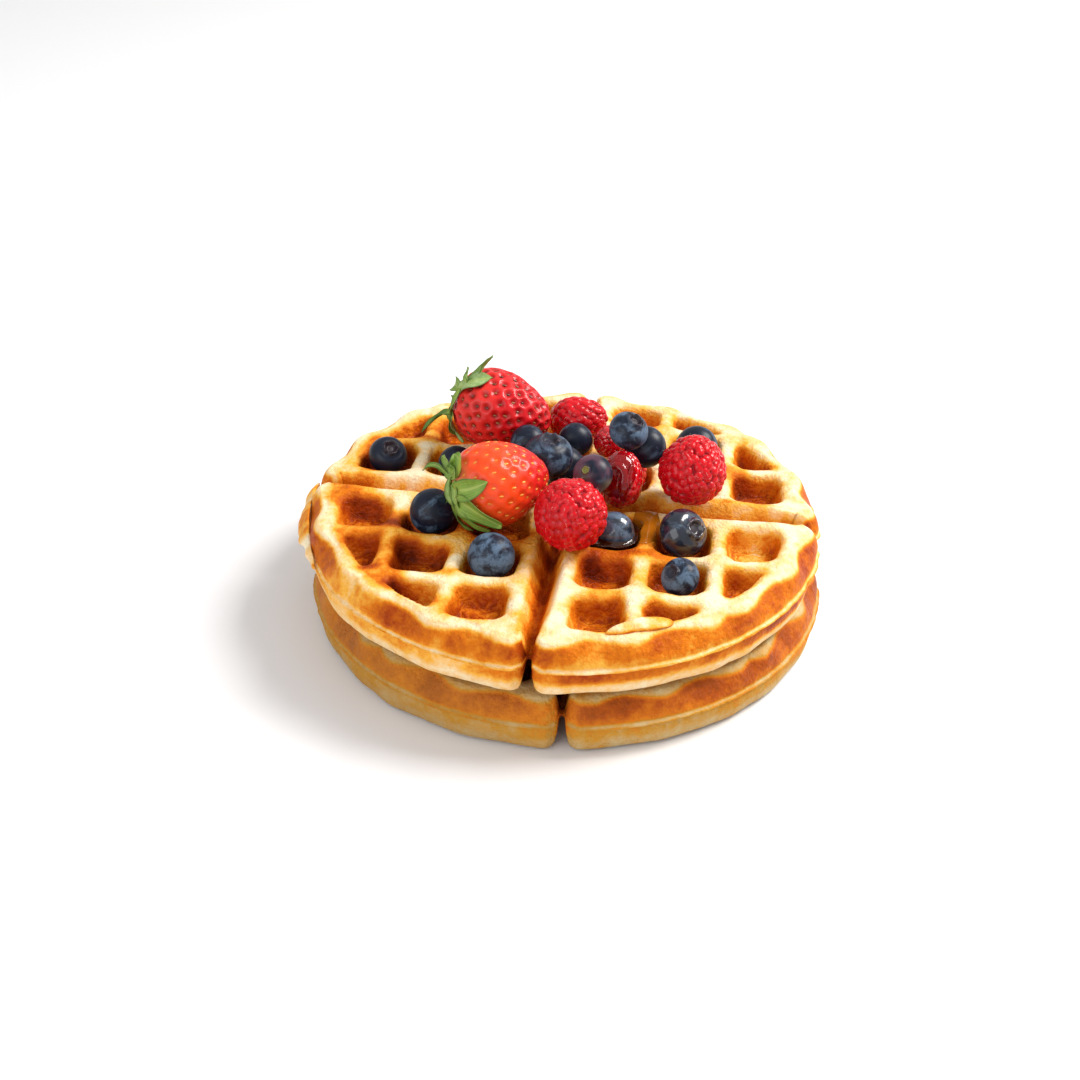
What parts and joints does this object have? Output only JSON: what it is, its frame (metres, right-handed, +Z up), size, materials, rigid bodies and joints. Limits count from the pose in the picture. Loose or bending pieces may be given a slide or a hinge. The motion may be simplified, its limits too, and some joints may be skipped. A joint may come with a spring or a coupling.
{
  "type": "waffle stack with berries",
  "caption": "Thick round grid waffles parted into quarters, stacked flat under a heap of fresh strawberries, raspberries and blueberries.",
  "frame": {"origin": "on the surface the stack stands on, under the middle of the two waffles", "axes": "+Z up, X and Y along the two main grooves of the upper waffle"},
  "size_m": [0.1786, 0.1772, 0.079],
  "materials": {
    "golden_crust": "matte",
    "tan_crust": "matte",
    "strawberry_red": "glossy",
    "strawberry_coral": "glossy",
    "leaf_green": "matte",
    "raspberry_red": "satin",
    "blueberry_blue": "satin"
  },
  "bodies": {
    "root": {"blueberry_01": "blueberry_blue", "blueberry_02": "blueberry_blue", "blueberry_03": "blueberry_blue", "blueberry_04": "blueberry_blue", "blueberry_05": "blueberry_blue", "blueberry_06": "blueberry_blue", "blueberry_07": "blueberry_blue", "blueberry_08": "blueberry_blue", "blueberry_09": "blueberry_blue", "blueberry_10": "blueberry_blue", "blueberry_11": "blueberry_blue", "blueberry_12": "blueberry_blue", "blueberry_13": "blueberry_blue", "blueberry_14": "blueberry_blue", "blueberry_15": "blueberry_blue", "calyx_back": "leaf_green", "calyx_front": "leaf_green", "raspberry_1": "raspberry_red", "raspberry_2": "raspberry_red", "raspberry_3": "raspberry_red", "raspberry_4": "raspberry_red", "raspberry_5": "raspberry_red", "raspberry_6": "raspberry_red", "strawberry_back": "strawberry_red", "strawberry_front": "strawberry_coral", "waffle_bottom": "tan_crust", "waffle_top": "golden_crust"}
  },
  "joints": []
}
